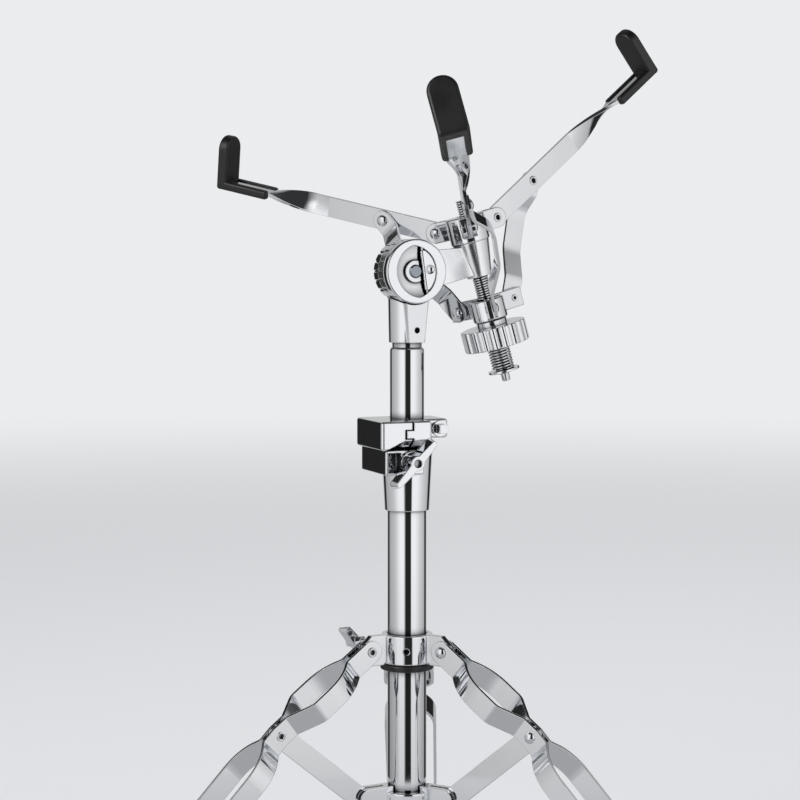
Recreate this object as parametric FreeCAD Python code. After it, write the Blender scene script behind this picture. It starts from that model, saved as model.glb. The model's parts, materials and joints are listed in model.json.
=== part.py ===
import FreeCAD, Part
import math
import os

# Snare drum stand: a folding tripod, a two-tube column, a ratchet tilter and a three-arm basket.
# Millimetres and degrees. +Z is up and the floor is z = 0, with the origin under the tubes' axis.
# The tilter's face looks along -Y and the basket stands to the +X side of the column.

# Clearances
RUN_CLEAR = 0.08      # radial play of a pin or tube that turns or slides
FACE_CLEAR = 0.3      # gap between flat faces that move past each other
COLLAR_PLAY = 0.45    # play of the leg collar on its tube
LEG_PIVOT_PLAY = 0.9  # play of the second and third leg on the collar's rivets
TOLERANCE = 0.01      # for finding an edge by its place

# Rivets: domed on one face, rolled out on the other
ROLL = 1.1            # rolled end past the shank
ROLL_HEIGHT = 0.7
RIVET_BORE = 0.75     # bore in the rolled end, as a share of the shank
RIVET_BORE_DEPTH = 2.0

# Tubes
UPPER_TUBE_D = 22.2
UPPER_TUBE_WALL = 1.4
BASE_TUBE_WALL = 1.52
TUBE_OVERLAP = 190.0   # upper tube inside the base tube
SWAGE = 1.5            # upper tube's end drawn in for the neck
SHOULDER_ROUND = 2.0   # rounding below the drawn-in end
SHOULDER_GAP = 3.2     # drawn-in end that shows below the neck
TUBE_FOOT = 26.0       # base tube below the lower pivots
CAP_THICK = 4.0
CAP_PLUG = 10.0
CAP_LIP = 0.8

# Tripod
LEG_AZIMUTH = 66.8     # first leg, turned from +X about the tube
LEG_COUNT = 3
LEG_SPREAD = 53.4      # between the leg's upper part and the tube
LEG_BEND = 9.0         # how much steeper the leg is below the middle rivet
PIVOT_RADIUS = 28.0
LINK_LENGTH = 80.0     # collar pivot to middle rivet
BRACE_LENGTH = 83.5    # middle rivet to lower pivot
SHANK_LENGTH = 235.0   # middle rivet to the middle of the foot
BAR_WIDTH = 14.0
BAR_THICK = 2.0
BRACE_THICK = 2.5
BEND_RADIUS = 3.0
BOW_RADIUS = 28.0      # where a ramp rounds into the bow
BOW_END_RADIUS = 7.0
FIRST_BOW = 17.0       # outer half width of the upper bow
SECOND_BOW = 18.2
PINCH_TOP = 17.0       # straight run below the collar pivot
PINCH_MID = 10.0       # straight run each side of the middle rivet
PINCH_FOOT = 40.0      # straight run above the foot
RAMP = 12.0            # length of a bar's slanted run
RAMP_MID = 15.5
LEG_RIVET_R = 2.1
LEG_HEAD_R = 3.8
LEG_HEAD_H = 2.0

# Feet
FOOT_HEIGHT = 12.0     # middle of the leg's end above the floor
FOOT_BACK = 30.0       # boot behind the leg's end point
FOOT_FRONT = 12.0
FOOT_HALF_WIDTH = 8.5
FOOT_DEPTH = 13.0      # below the leg's middle line
FOOT_RISE = 11.0
FOOT_ROUND = 4.0
FOOT_TONGUE = 4.0      # rubber between the two bars
FOOT_TAIL = 4.0        # bars past the leg's end point
FOOT_RIVET_BACK = 12.0

# Leg collar, measured from its pivots
COLLAR_R = 16.6
COLLAR_UP = 10.0
COLLAR_DOWN = 9.5
EAR_THICK = 5.0
EAR_REACH = 5.0        # ear past the pivot
EAR_SLOPE = 6.0        # how far the ear's corners are cut back
RING_R = 17.4
RING_HEIGHT = 4.0
COLLAR_BOSS_R = 6.0
COLLAR_BOSS_REACH = 22.0
SET_SCREW_R = 2.0
SET_SCREW_SUNK = 1.0

# Lower collar, measured from its pivots
LOWER_R = 18.0
LOWER_UP = 8.5
LOWER_DOWN = 12.0
LUG_UP = 12.0
LUG_THICK = 3.5
LUG_REACH = 8.4        # lug past the pivot
LUG_ROUND = 6.8

# Height clamp
CLAMP_RISE = 90.6      # sleeve's foot above the collar pivots
CLAMP_HEIGHT = 40.4
CLAMP_R_FOOT = 14.5
CLAMP_R_TOP = 16.6
BUSH_HEIGHT = 6.0
BLOCK_LEFT = 22.4
BLOCK_RIGHT = 4.0
BLOCK_FRONT = 20.0
BLOCK_BACK = 24.0
BLOCK_HEIGHT = 16.0
BLOCK_ROUND = 1.2
POCKET_WALL = 1.6
POCKET_RIGHT = 12.0    # pocket's inner side, left of the tube axis
POCKET_DEPTH = 9.0
CLAMP_BOLT_LEFT = 6.2  # bolt axis left of the tube axis
CLAMP_BOLT_DROP = 7.4  # bolt axis below the clamp's top
CLAMP_BOSS_R = 6.6
CLAMP_BOSS_LENGTH = 3.0

# Wing screws
WING_SHANK_R = 4.0
WING_HUB_R = 4.6
WING_WAIST = 4.4       # half width of the wings at the hub
WING_HUB_LENGTH = 11.0
WING_UP = 16.2         # blade lengths from the bolt's axis
WING_DOWN = 18.0
WING_TURN = 46.5
WING_TIP_R = 3.3
WING_DRAFT = 1.4       # how much the wings narrow towards their front on each side
WING_DEPTH = 8.0
WING_HOLE_R = 2.6
WING_HOLE_DEPTH = 3.0
COLLAR_WING_SHANK_R = 3.0
COLLAR_WING_LENGTH = 23.0
COLLAR_WING_TURN = 40.0
COLLAR_WING_SCALE = 0.85

# Memory lock
LOCK_HEIGHT = 18.6
LOCK_LEFT = 27.5
LOCK_RIGHT = 7.0
LOCK_FRONT = 26.0
LOCK_BACK = 20.0
LOCK_ROUND = 2.0
LUG_RIGHT = 23.3
LUG_HEIGHT = 12.5
LUG_FRONT = 13.0
LUG_BACK = 14.0
SEAM_NEAR = -6.8       # seam between the halves: its ends, and the knuckle between them
SEAM_FAR = -11.6
SEAM_GAP = 1.4
KNUCKLE_TOP = 5.4      # knuckle below the lock's top
KNUCKLE_FOOT = 11.6
SLANT_RISE = 6.4       # slanted edge under the lock's front
SLANT_DEPTH = 8.0
SLANT_END = 0.3        # height left at the back of the slanted cut
KEY_SCREW_X = 17.2
KEY_SCREW_R = 2.5
KEY_FLANGE_R = 5.2
KEY_FLANGE = 2.0
KEY_SQUARE = 5.6
KEY_LENGTH = 6.0
TONGUE_WIDTH = 9.0     # key of the lock in the clamp's rim
TONGUE_DROP = 4.0
TONGUE_THICK = 3.0

# Neck and tilter
TUBE_SHOWN = 49.0      # upper tube between lock and neck
NECK_HEIGHT = 45.6     # neck's foot to the tilter axis
NECK_R_FOOT = 11.8
NECK_R_TOP = 12.6
FACET_TOP = 9.8        # half widths of the neck's flat front
FACET_FOOT = 5.8
FACET_TOP_FRONT = 14.2
FACET_FOOT_FRONT = 12.7
FACET_TURN = 8.5       # flat front turned from the tilter's face
NECK_SCREW_R = 1.9
NECK_SCREW_UP = 8.0
SOCKET_DEPTH = 20.0
DRUM_R = 20.6
DRUM_BACK_R = 20.3
DRUM_BACK = 7.0        # toothed drum behind the tube axis
DRUM_SEAM = 1.0        # seam between the drums, in front of the tube axis
TOOTH_COUNT = 20
TOOTH_DEPTH = 0.7
GROOVE_MOUTH = 2.0     # groove between two teeth, at the rim and at its floor
GROOVE_FLOOR = 0.8
DISC_FRONT = 11.0
DISC_RIM = 8.5          # toothed part of the front drum starts here
HANDLE_FRONT = 17.0
BOLT_R = 4.0
BOLT_HEAD_AF = 13.0
BOLT_HEAD = 5.0
BOLT_PROUD = 0.9       # bolt's end in front of the handle's hub
BOLT_CHAMFER = 0.6
HANDLE_TURN = 8.0      # how far the cup and its flap stand turned
HANDLE_ROUND = 1.2
RECESS_R = 17.2        # the lens-shaped recess: its two arcs, and their middles beside the axis
RECESS_SHIFT = 3.7
RECESS_DEPTH = 4.2
BOWL_R = 38.0          # hollow of the recess beside the flap
HANDLE_HUB_R = 7.0
FLAP_EDGE = 4.4        # flap's straight edge right of the axis
FLAP_THICK = 3.0
FLAP_GAP = 0.6         # flap to the recess's wall
DIMPLE_X = 9.0         # finger dimple in the flap, from the axis
DIMPLE_R = 4.0
DIMPLE_DEPTH = 1.4
FLAP_PIN_R = 0.9
FLAP_PIN_REACH = 1.6
TILT = 15.2            # lean of the basket

# Tilter arm and rod, in the head's own frame
ROD_OFFSET = 48.2
ROD_LEAN = 1.8         # rod's lean away from the tilter's face
ROD_R = 5.25
ROD_TOP = 34.0
ROD_TIP_R = 3.2        # rod's turned-down end above the hub
ROD_SHOULDER = -79.6
ROD_END = -87.6
ROD_END_R = 2.75
BOSS_TOP = 6.4
BOSS_FOOT = -16.6
BOSS_R_TOP = 12.0
BOSS_R_FOOT = 8.2
WEB_TOP = 13.0         # web's upper edge at the tilter axis
WEB_DROP = 1.0         # web's upper edge below the boss's top
WEB_BACK = 7.0
WEB_LIFT = 2.0         # web's lower edge above the boss's foot
GUSSET_GAP = 2.0       # gusset clear of the toothed drum
GUSSET_SLOPE = 6.0
WEB_STEP = 4.5         # web behind the disc's front
WASHER_R = 10.4
WASHER_THICK = 1.4
CLIP_R = 4.6
CLIP_THICK = 1.2

# Basket
BASKET_TURN = 9.1      # first arm, turned from the head's X axis
ARM_COUNT = 3
ARM_RISE = 23.8        # arm above the basket's plane
ARM_PIVOT_R = 21.9
ARM_PIVOT_Z = 17.0
ARM_RIVET = 39.9       # pivot to strut rivet
ARM_LENGTH = 163.0     # pivot to the tip's corner
ARM_WIDTH = 13.5
ARM_THICK = 2.5
TWIST_BACK = 37.0      # end of the twist, back from the tip's corner
TWIST_LENGTH = 44.0
TWIST_STEPS = 4
TIP_BEND = 88.0        # turn of the bar inside the rubber tip
TIP_BAR = 24.0
HUB_CORE_R = 13.0
HUB_HEIGHT = 17.5
FORK_THICK = 3.0
FORK_ROUND = 6.6
BASKET_RIVET_R = 2.0
BASKET_HEAD_R = 3.7
BASKET_HEAD_H = 1.6

# Rubber tips
TIP_WIDTH = 18.5
TIP_THICK = 7.6
TIP_BACK = 36.0
TIP_RISE = 32.5
TIP_ROUND = 2.0
TIP_TOP = 2.3          # rubber above the bar's middle
WINDOW_WIDTH = 11.0    # opening that shows the bar, up to the rubber's back end
WINDOW_FROM_CORNER = 5.0

# Struts and sliding hub
STRUT_WIDTH = 13.0
STRUT_THICK = 2.0
STRUT_BOW = 13.5
STRUT_BOW_LOW = 12.0
STRUT_RUNS = (8.0, 20.0, 46.0, 66.0)   # bends along the strut from its upper rivet
STRUT_BENDS = (6.0, 14.0, 20.0, 10.0)
SLIDER_PIVOT_R = 20.7
SLIDER_PIVOT_Z = -37.0
SLIDER_TOP = -32.0
SLIDER_FOOT = -46.0
SLIDER_CORE_R = 11.5
SLIDER_EAR = 4.0
SLIDER_EAR_END = 6.3
SLIDER_RIVET_R = 1.2
STRUT_PIVOT_PLAY = 1.9   # play of the struts' lower holes

# Knob and spring
KNOB_TOP = -49.9
KNOB_FOOT = -63.6
KNOB_R = 21.5
KNOB_NECK_R = 10.0
FLUTE_COUNT = 22
FLUTE_R = 2.6
FLUTE_DEPTH = 1.0
KNOB_ROUND = 0.8
SPRING_WELL_R = 8.4
SPRING_WELL = 12.7
SPRING_WIRE = 1.8
SPRING_MEAN_R = 6.9
SPRING_TURNS = 8

ORIGIN = FreeCAD.Vector(0, 0, 0)
X = FreeCAD.Vector(1, 0, 0)
Y = FreeCAD.Vector(0, 1, 0)
Z = FreeCAD.Vector(0, 0, 1)

# Sizes and heights that follow from the driving dimensions
upper_r = UPPER_TUBE_D / 2
swage_r = upper_r - SWAGE
base_bore_r = upper_r + RUN_CLEAR
base_r = base_bore_r + BASE_TUBE_WALL
spread = math.radians(LEG_SPREAD)
steep = math.radians(LEG_SPREAD - LEG_BEND)
brace_spread = math.asin(LINK_LENGTH * math.sin(spread) / BRACE_LENGTH)
collar_z = LINK_LENGTH * math.cos(spread) + SHANK_LENGTH * math.cos(steep) + FOOT_HEIGHT
lower_z = collar_z - LINK_LENGTH * math.cos(spread) - BRACE_LENGTH * math.cos(brace_spread)
tube_foot_z = lower_z - TUBE_FOOT
clamp_foot_z = collar_z + CLAMP_RISE
clamp_top_z = clamp_foot_z + CLAMP_HEIGHT
base_top_z = clamp_top_z - BUSH_HEIGHT
lock_z = clamp_top_z + FACE_CLEAR
lock_top_z = lock_z + LOCK_HEIGHT
neck_z = lock_top_z + TUBE_SHOWN
tilt_z = neck_z + NECK_HEIGHT
socket_z = neck_z + SOCKET_DEPTH
ear_gap = EAR_THICK / 2 + FACE_CLEAR + BAR_THICK / 2
mid_gap = BRACE_THICK / 2 + FACE_CLEAR + BAR_THICK / 2
foot_gap = FOOT_TONGUE / 2 + BAR_THICK / 2
hub_top = BOSS_TOP + HUB_HEIGHT
arm_fork = ARM_THICK / 2 + FACE_CLEAR
twist_end = ARM_LENGTH - TWIST_BACK
twist_start = twist_end - TWIST_LENGTH

parts = {}


def vec(x, y, z=0.0):
    return FreeCAD.Vector(x, y, z)


def polar(angle, radius=1.0, z=0.0):
    turn = math.radians(angle)
    return vec(radius * math.cos(turn), radius * math.sin(turn), z)


def box(x0, x1, y0, y1, z0, z1):
    return Part.makeBox(x1 - x0, y1 - y0, z1 - z0, vec(x0, y0, z0))


def round_box(x0, x1, y0, y1, z0, z1, radius):
    block = box(x0, x1, y0, y1, z0, z1)
    return block.makeFillet(radius, block.Edges)


def rod(radius, start, end):
    axis = end - start
    return Part.makeCylinder(radius, axis.Length, start, axis)


def upright(radius, z0, z1, x=0.0, y=0.0):
    return rod(radius, vec(x, y, z0), vec(x, y, z1))


def crosswise(radius, y0, y1, x=0.0, z=0.0):
    return rod(radius, vec(x, y0, z), vec(x, y1, z))


def ring(outer, inner, z0, z1):
    return upright(outer, z0, z1).cut(upright(inner, z0, z1))


def plate(points, y0, y1):
    """Prism of an outline of (x, z) points between two values of y."""
    corners = [vec(x, y0, z) for x, z in points]
    outline = Part.makePolygon(corners + corners[:1])
    return Part.Face(outline).extrude(vec(0, y1 - y0, 0))


def placed(shape, origin, x_axis, y_axis):
    """Copy of a shape whose own X and Y axes are laid along two given directions."""
    z_axis = x_axis.cross(y_axis)
    matrix = FreeCAD.Matrix(
        x_axis.x, y_axis.x, z_axis.x, origin.x,
        x_axis.y, y_axis.y, z_axis.y, origin.y,
        x_axis.z, y_axis.z, z_axis.z, origin.z,
        0, 0, 0, 1)
    copy = shape.copy()
    copy.Placement = FreeCAD.Placement(matrix).multiply(shape.Placement)
    return copy


def around(shape, azimuth, z=0.0, centre=ORIGIN):
    """Copy of a shape turned about an upright axis, from +X to an azimuth."""
    return placed(shape, centre + vec(0, 0, z), polar(azimuth), polar(azimuth + 90))


def fused(shapes):
    return shapes[0].fuse(shapes[1:]).removeSplitter()


def cut_all(shape, tools):
    return shape.cut(Part.makeCompound(tools))


def hexagon(across_flats):
    return [(across_flats / math.sqrt(3) * math.cos(math.radians(60 * k)),
             across_flats / math.sqrt(3) * math.sin(math.radians(60 * k))) for k in range(6)]


def rivet(shank_r, y0, y1, head_r, head_h):
    """Rivet along Y: its domed head on the face at y0, its rolled end on the face at y1."""
    cap_r = (head_r ** 2 + head_h ** 2) / (2 * head_h)
    half = math.asin(head_r / cap_r) / 2
    mid_r = cap_r * math.sin(half)
    mid_h = head_h - cap_r + cap_r * math.cos(half)
    roll_r = shank_r + ROLL
    bore_r = RIVET_BORE * shank_r
    bore_end = y1 - RIVET_BORE_DEPTH
    head = [vec(0, y0 - head_h), vec(mid_r, y0 - mid_h), vec(head_r, y0)]
    roll = [vec(roll_r, y1), vec((roll_r + bore_r) / 2, y1 + ROLL_HEIGHT), vec(bore_r, y1)]
    shank = [head[2], vec(shank_r, y0), vec(shank_r, y1), roll[0]]
    bore = [roll[2], vec(bore_r, bore_end), vec(0, bore_end), head[0]]
    edges = [Part.Arc(*head).toShape()]
    edges += [Part.makeLine(a, b) for a, b in zip(shank, shank[1:])]
    edges.append(Part.Arc(*roll).toShape())
    edges += [Part.makeLine(a, b) for a, b in zip(bore, bore[1:])]
    return Part.Face(Part.Wire(edges)).revolve(ORIGIN, Y, 360)


def turned_over(pin):
    """Rivet along Y with its head on the +Y side."""
    copy = pin.copy()
    copy.rotate(ORIGIN, Z, 180)
    return copy


def strip_side(points, offset, bends):
    """One side of a bent strip: straight runs joined by arcs of the given radii."""
    runs = [(b - a).normalize() for a, b in zip(points, points[1:])]
    normals = [vec(-run.y, run.x) for run in runs]
    edges = []
    start = points[0] + normals[0] * offset
    for k, (corner, bend_r) in enumerate(zip(points[1:-1], bends)):
        before, after = runs[k], runs[k + 1]
        turn = math.atan2(before.x * after.y - before.y * after.x, before.dot(after))
        sign = math.copysign(1, turn)
        tangent = corner - before * (bend_r * math.tan(abs(turn) / 2))
        centre = tangent + normals[k] * (sign * bend_r)
        outward = corner - centre
        arc_mid = centre + outward * ((bend_r - sign * offset) / outward.Length)
        arc_start = tangent + normals[k] * offset
        arc_end = centre - normals[k + 1] * (sign * bend_r - offset)
        edges.append(Part.makeLine(start, arc_start))
        edges.append(Part.Arc(arc_start, arc_mid, arc_end).toShape())
        start = arc_end
    edges.append(Part.makeLine(start, points[-1] + normals[-1] * offset))
    return edges


def bent_strip(path, thickness, width, bends):
    """Flat strip bent along a path of (x, y) points, its width along Z, with a radius for each bend."""
    points = [vec(x, y) for x, y in path]
    left = strip_side(points, thickness / 2, bends)
    right = strip_side(points, -thickness / 2, bends)
    caps = [Part.makeLine(left[0].firstVertex().Point, right[0].firstVertex().Point),
            Part.makeLine(left[-1].lastVertex().Point, right[-1].lastVertex().Point)]
    outline = Part.Wire(Part.__sortEdges__(left + right + caps))
    strip = Part.Face(outline).extrude(vec(0, 0, width))
    strip.translate(vec(0, 0, -width / 2))
    return strip


def round_ended(strip, length, width, reach):
    """Strip with its two ends rounded about x = 0 and x = length."""
    plan = fused([box(0, length, -reach, reach, -width / 2, width / 2),
                  crosswise(width / 2, -reach, reach),
                  crosswise(width / 2, -reach, reach, x=length)])
    return strip.common(plan)


def wing_screw(shank_r, shank_length, hub_length, scale, turn):
    """Wing screw along -Y: its shank's tip at y = 0, its wings turned about the axis."""
    hub_start = -shank_length
    hub_end = hub_start - hub_length
    blade_start = hub_end + WING_DEPTH * scale
    tip_r = WING_TIP_R * scale
    hub_r = WING_HUB_R * scale
    waist = WING_WAIST * scale
    up, down = WING_UP * scale, WING_DOWN * scale
    draft = WING_DRAFT * scale

    def outline(y, narrower):
        tip, middle = tip_r - narrower, waist - narrower
        flat = [(up, tip), (0, middle), (-down, tip), (-down, -tip), (0, -middle), (up, -tip)]
        corners = [vec(x, y, z) for x, z in flat]
        return Part.makePolygon(corners + corners[:1])

    def rounded_tip(x):
        return Part.makeCone(tip_r, tip_r - draft, blade_start - hub_end, vec(x, blade_start), -Y)

    flat_part = Part.makeLoft([outline(blade_start, 0), outline(hub_end, draft)], True, True)
    blades = fused([flat_part, rounded_tip(up), rounded_tip(-down)])
    screw = fused([blades, crosswise(hub_r, hub_end, hub_start), crosswise(shank_r, hub_start, 0)])
    dimple = crosswise(WING_HOLE_R * scale, hub_end, hub_end + WING_HOLE_DEPTH)
    screw = screw.cut(dimple)
    screw.rotate(ORIGIN, Y, -turn)
    return screw


# Base: tube, end cap, lower collar, clamp and bush

def base_tube():
    return ring(base_r, base_bore_r, tube_foot_z, base_top_z)


def tube_cap():
    lid = upright(base_r + CAP_LIP, tube_foot_z - CAP_THICK, tube_foot_z)
    plug = upright(base_bore_r, tube_foot_z, tube_foot_z + CAP_PLUG)
    return fused([lid.makeFillet(CAP_LIP, lid.Edges), plug])


def lower_collar():
    inner = BRACE_THICK / 2 + FACE_CLEAR
    outer = inner + LUG_THICK
    body = upright(LOWER_R, -LOWER_DOWN, LOWER_UP)
    body = body.makeFillet(BLOCK_ROUND, body.Edges)
    reach = PIVOT_RADIUS + LUG_REACH
    lug = box(base_r, reach, -outer, outer, -LOWER_DOWN, LUG_UP)
    ends = [edge for edge in lug.Edges if edge.CenterOfMass.x > reach - TOLERANCE]
    lug = lug.makeFillet(LUG_ROUND, [edge for edge in ends if abs(edge.CenterOfMass.y) < TOLERANCE])
    slot = box(LOWER_R, 2 * reach, -inner, inner, -2 * LOWER_DOWN, 2 * LUG_UP)
    hole = crosswise(LEG_RIVET_R, -outer, outer, x=PIVOT_RADIUS)
    lug = cut_all(lug, [slot, hole])
    collar = fused([body] + [around(lug, azimuth) for azimuth in leg_azimuths()])
    collar = collar.cut(upright(base_r, -2 * LOWER_DOWN, 2 * LUG_UP))
    collar.translate(vec(0, 0, lower_z))
    return collar


def lower_rivets():
    face = BRACE_THICK / 2 + FACE_CLEAR + LUG_THICK
    one = rivet(LEG_RIVET_R, -face, face, LEG_HEAD_R, LEG_HEAD_H)
    one.translate(vec(PIVOT_RADIUS, 0))
    return Part.makeCompound([around(one, azimuth, lower_z) for azimuth in leg_azimuths()])


def clamp_body():
    sleeve = Part.makeCone(CLAMP_R_FOOT, CLAMP_R_TOP, CLAMP_HEIGHT, vec(0, 0, clamp_foot_z))
    block_z = clamp_top_z - BLOCK_HEIGHT
    block = round_box(-BLOCK_LEFT, BLOCK_RIGHT, -BLOCK_FRONT, BLOCK_BACK, block_z, clamp_top_z, BLOCK_ROUND)
    bolt = clamp_bolt_axis()
    boss = crosswise(CLAMP_BOSS_R, -BLOCK_FRONT - CLAMP_BOSS_LENGTH, 0, bolt.x, bolt.z)
    pocket = box(-BLOCK_LEFT + POCKET_WALL, -POCKET_RIGHT, -BLOCK_FRONT, -BLOCK_FRONT + POCKET_DEPTH,
                 block_z + POCKET_WALL, clamp_top_z - POCKET_WALL)
    bolt_hole = crosswise(WING_SHANK_R + RUN_CLEAR, -BLOCK_FRONT - CLAMP_BOSS_LENGTH, 0, bolt.x, bolt.z)
    notch = tongue_shape(FACE_CLEAR)
    bore = upright(base_r, clamp_foot_z, clamp_top_z)
    return cut_all(fused([sleeve, block, boss]), [pocket, bolt_hole, notch, bore])


def clamp_bolt_axis():
    return vec(-CLAMP_BOLT_LEFT, 0, clamp_top_z - CLAMP_BOLT_DROP)


def tongue_shape(clearance):
    """Key under the memory lock, or the notch for it where a clearance is given."""
    back = LOCK_BACK - LOCK_ROUND
    side = TONGUE_WIDTH / 2 + clearance
    middle = -BLOCK_LEFT / 2
    low = clamp_top_z - TONGUE_DROP + FACE_CLEAR - clearance
    return box(middle - side, middle + side, back - TONGUE_THICK - clearance, back + clearance, low, lock_z)


def clamp_bush():
    return ring(base_r, upper_r + RUN_CLEAR, base_top_z, clamp_top_z)


def height_wing_bolt():
    bolt = clamp_bolt_axis()
    tip_y = -(base_r + FACE_CLEAR)
    length = BLOCK_FRONT + CLAMP_BOSS_LENGTH + FACE_CLEAR + tip_y
    screw = wing_screw(WING_SHANK_R, length, WING_HUB_LENGTH, 1.0, WING_TURN)
    screw.translate(vec(bolt.x, tip_y, bolt.z))
    return screw


# Tripod: collar, legs, braces and feet

def leg_azimuths():
    return [LEG_AZIMUTH + 360.0 / LEG_COUNT * k for k in range(LEG_COUNT)]


def leg_collar():
    body = upright(COLLAR_R, -COLLAR_DOWN, COLLAR_UP)
    body = body.makeFillet(BLOCK_ROUND, body.Edges)
    reach = PIVOT_RADIUS + EAR_REACH
    outline = [(base_r, -COLLAR_DOWN), (reach - EAR_SLOPE, -COLLAR_DOWN), (reach, EAR_SLOPE - COLLAR_DOWN),
               (reach, COLLAR_UP - EAR_SLOPE), (reach - EAR_SLOPE, COLLAR_UP), (base_r, COLLAR_UP)]
    ear = plate(outline, -EAR_THICK / 2, EAR_THICK / 2)
    ear = ear.cut(crosswise(LEG_RIVET_R, -EAR_THICK, EAR_THICK, x=PIVOT_RADIUS))
    boss = rod(COLLAR_BOSS_R, vec(base_r, 0), vec(COLLAR_BOSS_REACH, 0))
    screw_hole = rod(COLLAR_WING_SHANK_R + RUN_CLEAR, ORIGIN, vec(2 * PIVOT_RADIUS, 0))
    set_hole = rod(SET_SCREW_R, ORIGIN, vec(2 * COLLAR_R, 0))
    first = LEG_AZIMUTH
    solids = [body] + [around(ear, azimuth) for azimuth in leg_azimuths()]
    solids.append(around(boss, collar_wing_azimuth()))
    holes = [around(screw_hole, collar_wing_azimuth()), around(set_hole, first + 180),
             upright(base_r + COLLAR_PLAY, -2 * COLLAR_DOWN, 2 * COLLAR_UP)]
    collar = cut_all(fused(solids), holes)
    collar.translate(vec(0, 0, collar_z))
    return collar


def collar_wing_azimuth():
    return LEG_AZIMUTH + 180.0 / LEG_COUNT


def collar_ring():
    top = collar_z - COLLAR_DOWN
    band = upright(RING_R, top - RING_HEIGHT, top)
    band = band.makeFillet(RING_HEIGHT / 4, band.Edges)
    return band.cut(upright(base_r + COLLAR_PLAY, top - RING_HEIGHT, top))


def collar_set_screw():
    screw = rod(SET_SCREW_R, vec(base_r + COLLAR_PLAY, 0), vec(COLLAR_R - SET_SCREW_SUNK, 0))
    return around(screw, LEG_AZIMUTH + 180, collar_z)


def collar_rivets():
    face = ear_gap + BAR_THICK / 2 + FACE_CLEAR
    one = rivet(LEG_RIVET_R, -face, face, LEG_HEAD_R, LEG_HEAD_H)
    one.translate(vec(PIVOT_RADIUS, 0))
    return Part.makeCompound([around(one, azimuth, collar_z) for azimuth in leg_azimuths()])


def collar_wing_screw():
    start_r = base_r + COLLAR_PLAY
    length = COLLAR_BOSS_REACH - start_r + COLLAR_WING_LENGTH - WING_HUB_LENGTH
    screw = wing_screw(COLLAR_WING_SHANK_R, length, WING_HUB_LENGTH, COLLAR_WING_SCALE, COLLAR_WING_TURN)
    azimuth = collar_wing_azimuth()
    start = polar(azimuth, start_r, collar_z)
    return placed(screw, start, polar(azimuth + 90), polar(azimuth + 180))


def leg_directions(azimuth):
    """Along the leg from its collar pivot, and sideways."""
    along = polar(azimuth, math.sin(spread), -math.cos(spread))
    return along, polar(azimuth + 90)


def place_leg(shape, azimuth):
    along, sideways = leg_directions(azimuth)
    return placed(shape, polar(azimuth, PIVOT_RADIUS, collar_z), along, sideways)


def steeper(shape):
    """Part of a leg below the middle rivet, turned by the leg's bend."""
    copy = shape.copy()
    copy.rotate(vec(LINK_LENGTH, 0), Y, LEG_BEND)
    return copy


def leg_bar(side, play):
    """One bowed bar of a leg in the leg's own frame, left for side 1 and right for side -1."""
    reach = 2 * SECOND_BOW
    first = FIRST_BOW - BAR_THICK / 2
    second = SECOND_BOW - BAR_THICK / 2
    half = BAR_WIDTH / 2
    mid_in = LINK_LENGTH - PINCH_MID
    upper_path = [(-half, ear_gap), (PINCH_TOP, ear_gap), (PINCH_TOP + RAMP, first),
                  (mid_in - RAMP_MID, first), (mid_in, mid_gap), (LINK_LENGTH + half, mid_gap)]
    upper_bends = (BEND_RADIUS, BOW_RADIUS, BOW_END_RADIUS, BEND_RADIUS)
    upper = bent_strip([(s, side * w) for s, w in upper_path], BAR_THICK, BAR_WIDTH, upper_bends)
    upper = round_ended(upper, LINK_LENGTH, BAR_WIDTH, reach)
    foot_in = SHANK_LENGTH - PINCH_FOOT
    end = SHANK_LENGTH + FOOT_TAIL
    lower_path = [(-half, mid_gap), (PINCH_MID, mid_gap), (PINCH_MID + RAMP, second),
                  (foot_in - RAMP, second), (foot_in, foot_gap), (end, foot_gap)]
    lower_bends = (BEND_RADIUS, BOW_RADIUS, BOW_RADIUS, BEND_RADIUS)
    lower = bent_strip([(s, side * w) for s, w in lower_path], BAR_THICK, BAR_WIDTH, lower_bends)
    lower = round_ended(lower, end - half, BAR_WIDTH, reach)
    lower = lower.cut(crosswise(LEG_RIVET_R, -reach, reach, x=SHANK_LENGTH - FOOT_RIVET_BACK))
    lower.translate(vec(LINK_LENGTH, 0))
    holes = [crosswise(LEG_RIVET_R + play, -reach, reach),
             crosswise(LEG_RIVET_R, -reach, reach, x=LINK_LENGTH)]
    return cut_all(fused([upper, steeper(lower)]), holes)


def leg_foot(azimuth):
    end = LINK_LENGTH + SHANK_LENGTH
    boot = round_box(end - FOOT_BACK, end + FOOT_FRONT, -FOOT_HALF_WIDTH, FOOT_HALF_WIDTH,
                     -FOOT_DEPTH, FOOT_RISE, FOOT_ROUND)
    boot = boot.cut(crosswise(LEG_RIVET_R, -FOOT_HALF_WIDTH, FOOT_HALF_WIDTH, x=end - FOOT_RIVET_BACK))
    boot = cut_all(steeper(boot), [leg_bar(1, RUN_CLEAR), leg_bar(-1, RUN_CLEAR)])
    boot = place_leg(boot, azimuth)
    reach = PIVOT_RADIUS + end + FOOT_FRONT
    return boot.cut(box(-reach, reach, -reach, reach, -reach, 0))


def leg_rivets(azimuth):
    mid_face = mid_gap + BAR_THICK / 2
    middle = rivet(LEG_RIVET_R, -mid_face, mid_face, LEG_HEAD_R, LEG_HEAD_H)
    middle.translate(vec(LINK_LENGTH, 0))
    foot = rivet(LEG_RIVET_R, -FOOT_HALF_WIDTH, FOOT_HALF_WIDTH, LEG_HEAD_R, LEG_HEAD_H)
    foot.translate(vec(LINK_LENGTH + SHANK_LENGTH - FOOT_RIVET_BACK, 0))
    return place_leg(Part.makeCompound([middle, steeper(foot)]), azimuth)


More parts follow.
